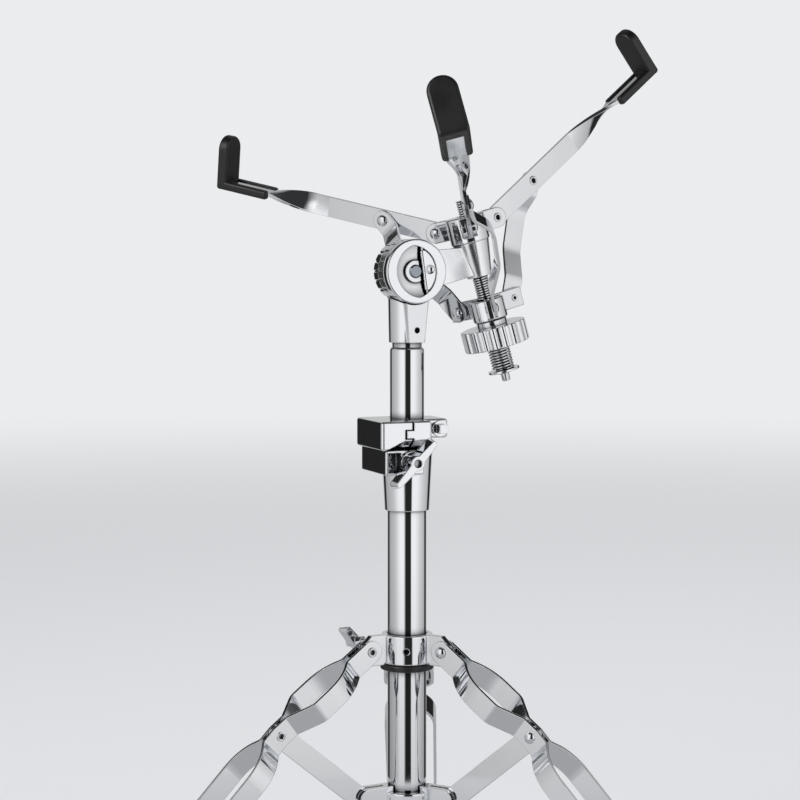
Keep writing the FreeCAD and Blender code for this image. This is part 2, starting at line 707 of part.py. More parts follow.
def brace(azimuth):
    half = BRACE_THICK / 2
    bar = fused([box(0, BRACE_LENGTH, -half, half, -BAR_WIDTH / 2, BAR_WIDTH / 2),
                 crosswise(BAR_WIDTH / 2, -half, half),
                 crosswise(BAR_WIDTH / 2, -half, half, x=BRACE_LENGTH)])
    holes = [crosswise(LEG_RIVET_R + RUN_CLEAR, -half, half),
             crosswise(LEG_RIVET_R + RUN_CLEAR, -half, half, x=BRACE_LENGTH)]
    along = polar(azimuth, math.sin(brace_spread), math.cos(brace_spread))
    return placed(cut_all(bar, holes), polar(azimuth, PIVOT_RADIUS, lower_z), along, polar(azimuth + 90))


# Column: upper tube, memory lock, neck with toothed drum, tilter bolt

def upper_tube():
    """Tube whose upper end is drawn in where it enters the neck."""
    foot = base_top_z - TUBE_OVERLAP
    shoulder = neck_z - SHOULDER_GAP
    body = upright(upper_r, foot, shoulder)
    edge = [edge for edge in body.Edges if edge.CenterOfMass.z > shoulder - TOLERANCE]
    bores = [upright(upper_r - UPPER_TUBE_WALL, foot, shoulder - SHOULDER_ROUND),
             upright(swage_r - UPPER_TUBE_WALL, foot, socket_z)]
    return cut_all(fused([body.makeFillet(SHOULDER_ROUND, edge), upright(swage_r, foot, socket_z)]), bores)


def lock_block():
    """Both halves of the memory lock in one."""
    front = round_box(-LOCK_LEFT, LOCK_RIGHT, -LOCK_FRONT, LOCK_BACK, lock_z, lock_top_z, LOCK_ROUND)
    lug_z = lock_top_z - LUG_HEIGHT
    lug = round_box(-LOCK_ROUND, LUG_RIGHT, -LUG_FRONT, LUG_BACK, lug_z, lock_top_z, LOCK_ROUND)
    lock = fused([front, lug])
    screw_hole = crosswise(KEY_SCREW_R, -LUG_FRONT, LUG_BACK, KEY_SCREW_X, key_screw_z())
    return cut_all(lock, [upright(upper_r, lock_z, lock_top_z), screw_hole, lock_slant()])


def key_screw_z():
    return lock_top_z - LUG_HEIGHT / 2


def lock_slant():
    """Slanted cut under the front, rising from the left corner to the seam."""
    left, right = -LOCK_LEFT + LOCK_ROUND, 2 * LOCK_RIGHT

    def outline(y, height):
        top = lock_z + height
        corners = [vec(left, y, lock_z), vec(SEAM_FAR, y, top), vec(right, y, top), vec(right, y, lock_z)]
        return Part.makePolygon(corners + corners[:1])

    front = outline(-LOCK_FRONT, SLANT_RISE)
    back = outline(-LOCK_FRONT + SLANT_DEPTH, SLANT_END)
    return Part.makeLoft([front, back], True, True)


def seam_cut(shift):
    """Space right of the stepped seam, moved sideways by a shift."""
    near, far = SEAM_NEAR + shift, SEAM_FAR + shift
    top, foot = lock_top_z + LOCK_ROUND, lock_z - TONGUE_DROP
    knuckle_top = lock_top_z - KNUCKLE_TOP - shift / 2
    knuckle_foot = lock_top_z - KNUCKLE_FOOT + shift / 2
    end = 2 * LUG_RIGHT
    outline = [(near, top), (near, knuckle_top), (far, knuckle_top), (far, knuckle_foot),
               (near, knuckle_foot), (near, foot), (end, foot), (end, top)]
    return plate(outline, -2 * LOCK_FRONT, 2 * LOCK_FRONT)


def lock_body():
    half = lock_block().cut(seam_cut(0))
    return fused([half, tongue_shape(0)])


def lock_gate():
    return lock_block().common(seam_cut(SEAM_GAP))


def lock_screw():
    middle_z = key_screw_z()
    flange_y = -LUG_FRONT - KEY_FLANGE
    half = KEY_SQUARE / 2
    return fused([crosswise(KEY_SCREW_R, -LUG_FRONT, LUG_BACK, KEY_SCREW_X, middle_z),
                  crosswise(KEY_FLANGE_R, flange_y, -LUG_FRONT, KEY_SCREW_X, middle_z),
                  box(KEY_SCREW_X - half, KEY_SCREW_X + half, flange_y - KEY_LENGTH, flange_y,
                      middle_z - half, middle_z + half)])


def toothed_drum(radius, y0, y1):
    """Drum about the tilter axis, its rim cut into flat-topped teeth by grooves along it."""
    floor_r = radius - TOOTH_DEPTH
    floor, mouth = GROOVE_FLOOR / 2, GROOVE_MOUTH / 2
    groove = plate([(floor_r, -floor), (radius, -mouth), (2 * radius, -mouth),
                    (2 * radius, mouth), (radius, mouth), (floor_r, floor)], y0, y1)
    grooves = []
    for k in range(TOOTH_COUNT):
        copy = groove.copy()
        copy.rotate(ORIGIN, Y, 360.0 / TOOTH_COUNT * k)
        grooves.append(copy)
    return cut_all(crosswise(radius, y0, y1), grooves)


def neck_facet():
    """Tapered flat front of the neck, facing along -Y before it is turned."""

    def outline(z, half, front):
        corners = [vec(-half, 0, z), vec(half, 0, z), vec(half, -front, z), vec(-half, -front, z)]
        return Part.makePolygon(corners + corners[:1])

    foot = outline(neck_z, FACET_FOOT, FACET_FOOT_FRONT)
    top = outline(tilt_z, FACET_TOP, FACET_TOP_FRONT)
    return turned_facet(Part.makeLoft([foot, top], True, True))


def turned_facet(shape):
    copy = shape.copy()
    copy.rotate(ORIGIN, Z, FACET_TURN)
    return copy


def tilter_neck():
    cone = Part.makeCone(NECK_R_FOOT, NECK_R_TOP, tilt_z - neck_z, vec(0, 0, neck_z))
    stalk = fused([cone, neck_facet()])
    disc_room = crosswise(DRUM_R + 2 * FACE_CLEAR, -2 * FACET_TOP_FRONT, -DRUM_SEAM, z=tilt_z)
    head_room = crosswise(BOLT_HEAD_AF / math.sqrt(3) + FACE_CLEAR, DRUM_BACK, 2 * NECK_R_TOP, z=tilt_z)
    drum = toothed_drum(DRUM_BACK_R, -DRUM_SEAM, DRUM_BACK)
    drum.translate(vec(0, 0, tilt_z))
    neck = fused([cut_all(stalk, [disc_room, head_room]), drum])
    tube_hole = upright(swage_r, neck_z, socket_z)
    bolt_hole = crosswise(BOLT_R, -DRUM_SEAM, DRUM_BACK, z=tilt_z)
    screw_hole = turned_facet(crosswise(NECK_SCREW_R, -FACET_TOP_FRONT, 0, z=neck_z + NECK_SCREW_UP))
    return cut_all(neck, [tube_hole, bolt_hole, screw_hole])


def neck_screw():
    screw = crosswise(NECK_SCREW_R, SET_SCREW_SUNK - FACET_FOOT_FRONT, 0, z=neck_z + NECK_SCREW_UP)
    return turned_facet(screw).cut(upright(swage_r, neck_z, socket_z))


def tilter_bolt():
    head = plate([(x, tilt_z + z) for x, z in hexagon(BOLT_HEAD_AF)], DRUM_BACK, DRUM_BACK + BOLT_HEAD)
    end_y = handle_hub_front() - BOLT_PROUD
    shank = crosswise(BOLT_R, end_y, DRUM_BACK, z=tilt_z)
    end = [edge for edge in shank.Edges if edge.CenterOfMass.y < end_y + TOLERANCE]
    return fused([head, shank.makeChamfer(BOLT_CHAMFER, end)])


# Tilter handle: cup and half-moon flap

def at_tilter(shape):
    """Shape modelled about the tilter axis, turned as the handle stands."""
    copy = shape.copy()
    copy.rotate(ORIGIN, Y, -HANDLE_TURN)
    copy.translate(vec(0, 0, tilt_z))
    return copy


def recess_lens(y0, y1, margin):
    """Lens between two arcs, drawn in by a margin."""
    radius = RECESS_R - margin
    return crosswise(radius, y0, y1, x=RECESS_SHIFT).common(crosswise(radius, y0, y1, x=-RECESS_SHIFT))


def recess_half_height(x):
    return math.sqrt(RECESS_R ** 2 - (x + RECESS_SHIFT) ** 2)


def handle_hub_front():
    return -HANDLE_FRONT + RECESS_DEPTH / 2


def handle_cup():
    back = -DISC_FRONT - FACE_CLEAR
    floor = -HANDLE_FRONT + RECESS_DEPTH
    disc = crosswise(DRUM_R, -HANDLE_FRONT, back)
    front = [edge for edge in disc.Edges if edge.CenterOfMass.y < TOLERANCE - HANDLE_FRONT]
    disc = disc.makeFillet(HANDLE_ROUND, front)
    flap_room = box(FLAP_EDGE - FLAP_THICK / 2, DRUM_R, -HANDLE_FRONT, floor, -DRUM_R, DRUM_R)
    hub = crosswise(HANDLE_HUB_R, handle_hub_front(), floor).cut(flap_room)
    lens = recess_lens(-HANDLE_FRONT, floor, 0)
    bowl = lens.common(Part.makeSphere(BOWL_R, vec(0, floor - BOWL_R)))
    cup = fused([cut_all(disc, [bowl, lens.common(flap_room)]), hub])
    pin = flap_pin()
    pin_reach = pin.z + FLAP_PIN_REACH + RUN_CLEAR
    holes = [crosswise(BOLT_R + RUN_CLEAR, -HANDLE_FRONT, back),
             upright(FLAP_PIN_R + RUN_CLEAR, -pin_reach, pin_reach, pin.x, pin.y)]
    return at_tilter(cut_all(cup, holes))


def flap_pin():
    """Hinge line of the flap before the handle is turned: its x and y, and half its length as z."""
    x = FLAP_EDGE + FLAP_THICK / 2
    return vec(x, -HANDLE_FRONT + FLAP_THICK / 2, recess_half_height(x))


def handle_flap():
    pin = flap_pin()
    back = -HANDLE_FRONT + FLAP_THICK
    knuckle = recess_half_height(pin.x + FLAP_THICK / 2) - FLAP_GAP
    moon = recess_lens(-HANDLE_FRONT, back, FLAP_GAP)
    half = moon.common(box(pin.x, DRUM_R, -HANDLE_FRONT, back, -knuckle, knuckle))
    barrel = upright(FLAP_THICK / 2, -knuckle, knuckle, pin.x, pin.y)
    pins = upright(FLAP_PIN_R, -pin.z - FLAP_PIN_REACH, pin.z + FLAP_PIN_REACH, pin.x, pin.y)
    dimple = Part.makeSphere(DIMPLE_R, vec(DIMPLE_X, DIMPLE_DEPTH - DIMPLE_R - HANDLE_FRONT))
    return at_tilter(fused([half, barrel, pins]).cut(dimple))


# Tilter head, modelled level about the tilter axis and then leaned

def leaned(shape):
    copy = shape.copy()
    copy.rotate(ORIGIN, Y, -TILT)
    copy.translate(vec(0, 0, tilt_z))
    return copy


def at_rod(shape, angle=0.0):
    """Shape modelled about the rod's axis, turned to a basket angle, in the level head."""
    copy = around(shape, angle, centre=vec(ROD_OFFSET, 0))
    copy.rotate(vec(ROD_OFFSET, 0), X, -ROD_LEAN)
    return copy


def on_rod(shape, angle=0.0):
    return leaned(at_rod(shape, angle))


def arm_angles():
    return [BASKET_TURN + 360.0 / ARM_COUNT * k for k in range(ARM_COUNT)]


def tilter_arm():
    back = -DRUM_SEAM - FACE_CLEAR
    disc = fused([crosswise(DRUM_R, -DISC_FRONT, -DISC_RIM), toothed_drum(DRUM_R, -DISC_RIM, back)])
    web_foot = BOSS_FOOT + WEB_LIFT
    web_top = BOSS_TOP - WEB_DROP
    web_front = -DISC_FRONT + WEB_STEP
    side = [(0, WEB_TOP), (ROD_OFFSET - BOSS_R_TOP, web_top), (ROD_OFFSET, web_top),
            (ROD_OFFSET, web_foot), (0, web_foot)]
    web = plate(side, web_front, back)
    gusset_x = DRUM_R + GUSSET_GAP
    gusset = plate([(gusset_x, web_top), (ROD_OFFSET, web_top), (ROD_OFFSET, web_foot),
                    (gusset_x + GUSSET_SLOPE, web_foot)], web_front, WEB_BACK)
    boss = at_rod(Part.makeCone(BOSS_R_FOOT, BOSS_R_TOP, BOSS_TOP - BOSS_FOOT, vec(0, 0, BOSS_FOOT)))
    body = fused([disc, web, gusset, boss])
    holes = [crosswise(BOLT_R + RUN_CLEAR, -DISC_FRONT, back),
             at_rod(upright(ROD_R, 2 * BOSS_FOOT, 2 * BOSS_TOP))]
    return leaned(cut_all(body, holes))


def basket_rod():
    return on_rod(fused([upright(ROD_R, ROD_SHOULDER, hub_top), upright(ROD_TIP_R, hub_top, ROD_TOP),
                         upright(ROD_END_R, ROD_END, ROD_SHOULDER)]))


def top_hub():
    core = upright(HUB_CORE_R, BOSS_TOP, hub_top)
    core = core.makeFillet(BLOCK_ROUND, core.Edges)
    outer = arm_fork + FORK_THICK
    plan = fused([box(ROD_R, ARM_PIVOT_R, -outer, outer, -FORK_ROUND, FORK_ROUND),
                  crosswise(FORK_ROUND, -outer, outer, x=ARM_PIVOT_R)])
    slot = box(HUB_CORE_R, ARM_PIVOT_R + FORK_ROUND, -arm_fork, arm_fork, -FORK_ROUND, FORK_ROUND)
    fork = cut_all(plan, [slot, crosswise(BASKET_RIVET_R, -outer, outer, x=ARM_PIVOT_R)])
    hub = fused([core] + [around(fork, angle, ARM_PIVOT_Z) for angle in arm_angles()])
    return on_rod(hub.cut(upright(ROD_R, BOSS_TOP, hub_top)))


def hub_rivets():
    face = arm_fork + FORK_THICK
    one = turned_over(rivet(BASKET_RIVET_R, -face, face, BASKET_HEAD_R, BASKET_HEAD_H))
    one.translate(vec(ARM_PIVOT_R, 0, ARM_PIVOT_Z))
    return Part.makeCompound([on_rod(one, angle) for angle in arm_angles()])


def rod_washer():
    return on_rod(ring(WASHER_R, ROD_END_R, ROD_SHOULDER - WASHER_THICK, ROD_SHOULDER))


def rod_clip():
    top = ROD_SHOULDER - WASHER_THICK
    return on_rod(ring(CLIP_R, ROD_END_R, top - CLIP_THICK, top))


# Spring: one round wire wound on the rod, with straight ends

def biarc(p0, t0, p1, t1):
    """Two arcs that leave one point along its tangent and reach the next along its own."""
    chord = p1 - p0
    both = t0 + t1
    lack = 1 - t0.dot(t1)
    reach = (math.sqrt(chord.dot(both) ** 2 + 2 * lack * chord.dot(chord)) - chord.dot(both)) / (2 * lack)
    corner0 = p0 + t0 * reach
    corner1 = p1 - t1 * reach
    joint = (corner0 + corner1) * 0.5
    edges = []
    for start, corner, end in ((p0, corner0, joint), (joint, corner1, p1)):
        middle = (start + end) * 0.5
        half = math.acos(min(1.0, (end - start).Length / (2 * reach)))
        share = math.tan(half / 2) / math.tan(half)
        edges.append(Part.Arc(start, middle + (corner - middle) * share, end).toShape())
    return edges


def rod_spring():
    low = ROD_SHOULDER + SPRING_WIRE / 2
    high = KNOB_FOOT + SPRING_WELL - FACE_CLEAR - SPRING_WIRE / 2
    climb = (high - low) / SPRING_TURNS
    slope = climb / (2 * math.pi * SPRING_MEAN_R)
    quarter = 90.0

    def point(k):
        return polar(quarter * k, SPRING_MEAN_R, low + climb * k / 4)

    def tangent(k):
        return (polar(quarter * k + 90) + vec(0, 0, slope)).normalize()

    count = 4 * SPRING_TURNS
    edges = [Part.makeLine(point(0) - tangent(0) * SPRING_WIRE, point(0))]
    for k in range(count):
        edges += biarc(point(k), tangent(k), point(k + 1), tangent(k + 1))
    edges.append(Part.makeLine(point(count), point(count) + tangent(count) * SPRING_WIRE))
    path = Part.Wire(edges)
    start = edges[0].firstVertex().Point
    section = Part.Wire(Part.makeCircle(SPRING_WIRE / 2, start, tangent(0)))
    print("spring gap", round(spring_gap(edges), 2), "mm")
    return on_rod(path.makePipeShell([section], True, False))


def spring_gap(edges):
    """Least gap between the wire and itself, measured on points more than half a turn apart."""
    points = [p for edge in edges for p in edge.discretize(4)]
    apart = len(points) // (2 * SPRING_TURNS)
    least = min((a - b).Length for k, a in enumerate(points) for b in points[k + apart:])
    return least - SPRING_WIRE


# Basket: arms, tips, struts, sliding hub and knob

rise = math.radians(ARM_RISE)
rivet_r = ARM_PIVOT_R + ARM_RIVET * math.cos(rise)
rivet_z = ARM_PIVOT_Z + ARM_RIVET * math.sin(rise)
strut_length = math.hypot(rivet_r - SLIDER_PIVOT_R, rivet_z - SLIDER_PIVOT_Z)


def place_arm(shape, angle):
    tipped = placed(shape, vec(ARM_PIVOT_R, 0, ARM_PIVOT_Z), vec(math.cos(rise), 0, math.sin(rise)), Y)
    return on_rod(tipped, angle)


def turned_section(x, turn):
    half_w, half_t = ARM_WIDTH / 2, ARM_THICK / 2
    corners = [vec(x, half_t, half_w), vec(x, -half_t, half_w),
               vec(x, -half_t, -half_w), vec(x, half_t, -half_w)]
    section = Part.makePolygon(corners + corners[:1])
    section.rotate(vec(x, 0), X, turn)
    return section


def arm_end():
    """Flat end of an arm, from the twist to the upturned stub inside the rubber tip."""
    bend = math.radians(TIP_BEND)
    path = [(twist_end, 0), (ARM_LENGTH, 0),
            (ARM_LENGTH + TIP_BAR * math.cos(bend), TIP_BAR * math.sin(bend))]
    end = bent_strip(path, ARM_THICK, ARM_WIDTH, (BEND_RADIUS,))
    end.rotate(ORIGIN, X, 90)
    return end


def basket_arm():
    half_t = ARM_THICK / 2
    bar = fused([box(0, twist_start, -half_t, half_t, -ARM_WIDTH / 2, ARM_WIDTH / 2),
                 crosswise(ARM_WIDTH / 2, -half_t, half_t)])
    step = TWIST_LENGTH / TWIST_STEPS
    turn = 90.0 / TWIST_STEPS
    sections = [turned_section(twist_start + step * k, turn * k) for k in range(TWIST_STEPS + 1)]
    twist = Part.makeLoft(sections, True, False)
    arm = fused([bar, twist, arm_end()])
    holes = [crosswise(BASKET_RIVET_R + RUN_CLEAR, -half_t, half_t),
             crosswise(BASKET_RIVET_R, -half_t, half_t, x=ARM_RIVET)]
    return cut_all(arm, holes)


def rubber_tip():
    half_w, half_t = TIP_WIDTH / 2, TIP_THICK / 2
    back = ARM_LENGTH - TIP_BACK
    flat = round_box(back, ARM_LENGTH + half_t, -half_w, half_w, -half_t, TIP_TOP, TIP_ROUND)
    post = fused([box(-half_t, TIP_RISE - half_w, -half_w, half_w, -half_t, half_t),
                  upright(half_w, -half_t, half_t, x=TIP_RISE - half_w)])
    post = post.makeFillet(TIP_ROUND, post.Edges)
    post.rotate(ORIGIN, Y, -TIP_BEND)
    post.translate(vec(ARM_LENGTH, 0))
    window = box(back, ARM_LENGTH - WINDOW_FROM_CORNER, -WINDOW_WIDTH / 2, WINDOW_WIDTH / 2, -half_t, half_t)
    return cut_all(fused([flat, post]), [arm_end(), window])


def arm_rivet():
    strut_face = arm_fork + STRUT_THICK + FACE_CLEAR
    one = turned_over(rivet(BASKET_RIVET_R, -strut_face, ARM_THICK / 2, BASKET_HEAD_R, BASKET_HEAD_H))
    one.translate(vec(ARM_RIVET, 0))
    return one


def strut(angle):
    upper = arm_fork + STRUT_THICK / 2
    lower = SLIDER_EAR / 2 + FACE_CLEAR + STRUT_THICK / 2
    bends = list(zip(STRUT_RUNS, (upper, STRUT_BOW, STRUT_BOW_LOW, lower)))
    path = [(-STRUT_WIDTH / 2, upper)] + bends + [(strut_length + STRUT_WIDTH / 2, lower)]
    strip = bent_strip(path, STRUT_THICK, STRUT_WIDTH, STRUT_BENDS)
    bar = round_ended(strip, strut_length, STRUT_WIDTH, 2 * STRUT_BOW)
    reach = 2 * STRUT_BOW
    holes = [crosswise(BASKET_RIVET_R + RUN_CLEAR, -reach, reach),
             crosswise(SLIDER_RIVET_R + STRUT_PIVOT_PLAY, -reach, reach, x=strut_length)]
    along = vec(SLIDER_PIVOT_R - rivet_r, 0, SLIDER_PIVOT_Z - rivet_z).normalize()
    return on_rod(placed(cut_all(bar, holes), vec(rivet_r, 0, rivet_z), along, Y), angle)


def slider_hub():
    core = upright(SLIDER_CORE_R, SLIDER_FOOT, SLIDER_TOP)
    core = core.makeFillet(BLOCK_ROUND, core.Edges)
    half = SLIDER_EAR / 2
    end = SLIDER_PIVOT_R + SLIDER_EAR_END
    ear = round_box(ROD_R, end, -half, half, SLIDER_PIVOT_Z - SLIDER_EAR_END,
                    SLIDER_PIVOT_Z + SLIDER_EAR_END, BLOCK_ROUND / 2)
    ear = ear.cut(crosswise(SLIDER_RIVET_R, -half, half, SLIDER_PIVOT_R, SLIDER_PIVOT_Z))
    hub = fused([core] + [around(ear, angle) for angle in arm_angles()])
    return on_rod(hub.cut(upright(ROD_R + RUN_CLEAR, SLIDER_FOOT, SLIDER_TOP)))


def slider_rivets():
    strut_face = SLIDER_EAR / 2 + STRUT_THICK + 2 * FACE_CLEAR
    head_r = SLIDER_RIVET_R + STRUT_PIVOT_PLAY + ROLL / 2
    one = turned_over(rivet(SLIDER_RIVET_R, -strut_face, SLIDER_EAR / 2, head_r, BASKET_HEAD_H))
    one.translate(vec(SLIDER_PIVOT_R, 0, SLIDER_PIVOT_Z))
    return Part.makeCompound([on_rod(one, angle) for angle in arm_angles()])


def knob():
    rim = upright(KNOB_R, KNOB_FOOT, KNOB_TOP)
    rim = rim.makeFillet(KNOB_ROUND, rim.Edges)
    flute_at = KNOB_R + FLUTE_R - FLUTE_DEPTH
    flutes = []
    for k in range(FLUTE_COUNT):
        spot = polar(360.0 / FLUTE_COUNT * k, flute_at)
        flutes.append(upright(FLUTE_R, KNOB_FOOT, KNOB_TOP, spot.x, spot.y))
    neck_top = SLIDER_FOOT - FACE_CLEAR
    body = fused([cut_all(rim, flutes), upright(KNOB_NECK_R, KNOB_TOP, neck_top)])
    return on_rod(cut_all(body, [upright(ROD_R + RUN_CLEAR, KNOB_FOOT, neck_top),
                                 upright(SPRING_WELL_R, KNOB_FOOT, KNOB_FOOT + SPRING_WELL)]))


def build():
    for make in (base_tube, tube_cap, lower_collar, lower_rivets, clamp_body, clamp_bush, height_wing_bolt,
                 leg_collar, collar_ring, collar_set_screw, collar_rivets, collar_wing_screw,
                 upper_tube, lock_body, lock_gate, lock_screw, tilter_neck, neck_screw, tilter_bolt,
                 handle_cup, handle_flap, tilter_arm, basket_rod, top_hub, hub_rivets,
                 rod_washer, rod_clip, rod_spring, slider_hub, slider_rivets, knob):
        parts[make.__name__] = make()
    for k, azimuth in enumerate(leg_azimuths(), 1):
        play = RUN_CLEAR if k == 1 else LEG_PIVOT_PLAY
        parts[f"leg_{k}_left_bar"] = place_leg(leg_bar(1, play), azimuth)
        parts[f"leg_{k}_right_bar"] = place_leg(leg_bar(-1, play), azimuth)
        parts[f"leg_{k}_foot"] = leg_foot(azimuth)
        parts[f"leg_{k}_rivets"] = leg_rivets(azimuth)
        parts[f"brace_{k}"] = brace(azimuth)
    arm, tip, pin = basket_arm(), rubber_tip(), arm_rivet()
    for k, angle in enumerate(arm_angles(), 1):
        parts[f"arm_{k}"] = place_arm(arm, angle)
        parts[f"tip_{k}"] = place_arm(tip, angle)
        parts[f"arm_{k}_rivet"] = place_arm(pin, angle)
        parts[f"strut_{k}"] = strut(angle)


build()
os.makedirs("parts", exist_ok=True)
for name, shape in parts.items():
    shape.exportStep(f"parts/{name}.step")
    solids = shape.Solids
    print(name, len(solids), "solid" if len(solids) == 1 else "solids",
          round(sum(solid.Volume for solid in solids)), "mm3", "" if shape.isValid() else "NOT VALID")
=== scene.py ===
import json
import math

import bpy
from mathutils import Matrix, Vector


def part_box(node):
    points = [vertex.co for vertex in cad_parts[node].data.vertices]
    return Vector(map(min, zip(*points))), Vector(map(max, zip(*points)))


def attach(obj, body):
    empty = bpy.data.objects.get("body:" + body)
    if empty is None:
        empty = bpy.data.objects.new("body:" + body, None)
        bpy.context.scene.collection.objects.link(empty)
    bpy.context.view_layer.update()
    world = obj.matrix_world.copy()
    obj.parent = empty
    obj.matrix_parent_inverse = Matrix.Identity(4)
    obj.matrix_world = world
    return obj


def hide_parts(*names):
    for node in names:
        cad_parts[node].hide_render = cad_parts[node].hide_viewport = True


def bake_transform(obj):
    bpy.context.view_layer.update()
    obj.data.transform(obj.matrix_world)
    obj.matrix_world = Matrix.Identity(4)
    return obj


# Chromed snare drum stand, dressed around its solids. Metres, +Z up, floor at z = 0.
# The solids stay where they are and get their finishes, whose shading rounds their edges.
# New pieces stand for the threaded rod, its spring and the socket screws.

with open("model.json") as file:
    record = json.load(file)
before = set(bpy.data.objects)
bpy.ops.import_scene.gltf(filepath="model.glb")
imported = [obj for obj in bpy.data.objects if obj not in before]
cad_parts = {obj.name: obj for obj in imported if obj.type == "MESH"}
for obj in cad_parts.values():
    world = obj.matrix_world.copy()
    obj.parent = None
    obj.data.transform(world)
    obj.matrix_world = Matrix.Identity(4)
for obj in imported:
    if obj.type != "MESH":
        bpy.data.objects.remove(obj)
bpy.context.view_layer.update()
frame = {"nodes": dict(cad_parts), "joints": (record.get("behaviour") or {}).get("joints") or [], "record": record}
MM = 0.001

# Camera: it stands in front of the tilter's face, a little to its left
IMAGE_SIZE = 800
FOCAL_PIXELS = 2053.0
SENSOR_WIDTH = 36.0
CAMERA_DISTANCE = 1.322
CAMERA_TURN = math.radians(21.77)     # turned from straight in front of the tilter
CAMERA_PITCH = math.radians(4.14)     # looking down
CAMERA_SHIFT = -0.0045                # sideways from the tubes' axis, to the left where negative
CAMERA_HEIGHT = 0.4848

# Floor and air
FLOOR_SIZE = 80.0
FLOOR_NEAR = 1.2        # from here the floor fades into the air behind it
FLOOR_FAR = 5.0
PAPER_COLOUR = "#E9EAEC"
PAPER_ROUGHNESS = 0.9
AIR_COLOUR = "#F4F5F7"
AIR_LEVEL = 0.92        # of the air and the far floor, as the eye sees them
FILL_LEVEL = 0.62       # of the air, as it lights the pieces

# Wall and cards that only reflections see
ROUND_CORNERS = 96
WALL_RADIUS = 0.55      # close enough to be mirrored down to the feet
WALL_HEIGHT = 1.05
WALL_FOOT = 0.21        # below this height the wall darkens towards the floor
WALL_FOOT_LEVEL = 0.7
WALL_FADE = 0.72        # above this height it darkens towards the ceiling
CEILING_LEVEL = 0.04
GROUND_CARD_HEIGHT = 0.5 * MM
GROUND_MIDDLE_LEVEL = 0.46
GROUND_RIM_LEVEL = 0.72
CARD_MIDDLE = 0.25      # a card keeps the level of its middle up to this radius
# the wall's level at degrees round the column from the camera, to its right where positive
WALL_SAILS = [
    (-180, 0.55), (-152, 0.55), (-148, 0.02), (-126, 0.02), (-120, 0.42), (-70, 0.62),
    (-40, 1.0), (-18, 1.0), (-8, 0.02), (22, 0.02), (26, 1.0), (50, 1.0),
    (80, 0.72), (118, 0.5), (126, 0.02), (148, 0.02), (152, 0.55), (180, 0.55),
]

# Lamps: degrees round the column from the camera, height, distance, side and power
LAMPS = {
    "key_lamp": (-48, 1.5, 2.2, 0.8, 26),
    "fill_lamp": (55, 1.2, 2.4, 1.2, 8),
    "top_lamp": (160, 2.4, 1.6, 1.0, 14),
}
LAMP_AIM = Vector((0, 0, 0.4))

# Threaded rod; its places along the rod are measured from the level of the tilter's axis
THREAD_PITCH = 1.6 * MM
THREAD_DEPTH = 0.9 * MM
THREAD_STEPS = 32
THREAD_SPARE = 3            # turns beyond the length, which the cuts at its two ends take off
CREST_START = 0.32          # shares of the pitch between which the crest lies
CREST_END = 0.68
THREAD_SMOOTH = math.radians(28)
ROD_RADIUS = 5.25 * MM
ROD_TIP_RADIUS = 3.2 * MM   # of the rod's turned-down end above the hub
ROD_STUB_RADIUS = 2.75 * MM
ROD_STUB_CORNERS = 32
ROD_CHAMFER = 0.8 * MM
ROD_TOP = 34.0 * MM
HUB_TOP = 23.9 * MM
KNOB_TOP = -49.9 * MM
ROD_SHOULDER = -79.6 * MM
ROD_END = -87.6 * MM

# Spring on the rod
SPRING_WIRE = 1.1 * MM
SPRING_RADIUS = 6.9 * MM
SPRING_TURNS = 15
SPRING_TOP = -51.2 * MM
WIRE_CORNERS = 10
WIRE_SMOOTH = math.radians(60)
COIL_STEPS = 40

# Socket screws
SOCKET_SHARE = 0.6          # of the screw's radius
SOCKET_DEPTH = 1.6 * MM
SCREW_CORNERS = 40
SCREW_CHAMFER = 0.25 * MM
SCREW_SMOOTH = math.radians(30)

# New meshes
MERGE_DISTANCE = 0.01 * MM
CHAMFER_STEPS = 2

# Finishes: between these values of the noise the gloss goes from its one roughness to the other
SMUDGE_LOW = 0.35
SMUDGE_HIGH = 0.7
SMUDGE_DETAIL = 3.0
GRAIN_DETAIL = 2.0
EDGE_SAMPLES = 8

# Painted shade in corners, recesses and joints between parts, where ambient occlusion darkens a finish's colour:
# how far it is felt in mm, and the open shares of the view at which a finish is painted quite dark and left quite
# clear
PAINTED_SHADE_COLOUR = "#16171A"
PAINTED_SHADE_SAMPLES = 16
PAINTED_SHADE = (3, 0.2, 0.7)
TUBE_PAINTED_SHADE = (6, 0.45, 0.95)
CASTING_PAINTED_SHADE = (7, 0.2, 0.7)
CUP_PAINTED_SHADE = (18, 0.5, 0.95)


def linear(hex_colour):
    """RGBA in linear light from an sRGB hex value."""
    channels = [int(hex_colour[k:k + 2], 16) / 255 for k in (1, 3, 5)]
    return [c / 12.92 if c <= 0.04045 else ((c + 0.055) / 1.055) ** 2.4 for c in channels] + [1.0]


def add(tree, kind, inputs=None, stops=(), **settings):
    """Adds a node; an input is a value or another node's output, a stop is a place and a grey."""
    node = tree.nodes.new(kind)
    for name, value in settings.items():
        setattr(node, name, value)
    for key, value in (inputs or {}).items():
        if isinstance(value, bpy.types.NodeSocket):
            tree.links.new(value, node.inputs[key])
        else:
            node.inputs[key].default_value = value
    for k, (place, level) in enumerate(stops):
        elements = node.color_ramp.elements
        element = elements[k] if k < len(elements) else elements.new(place)
        element.position = place
        element.color = (level, level, level, 1)
    return node


def per_metre(size_mm):
    """Noise scale that gives features of a size in millimetres."""
    return 1000.0 / size_mm


def new_material(name):
    """Material with an empty node tree."""
    material = bpy.data.materials.new(name)
    material.use_nodes = True
    material.node_tree.nodes.clear()
    return material


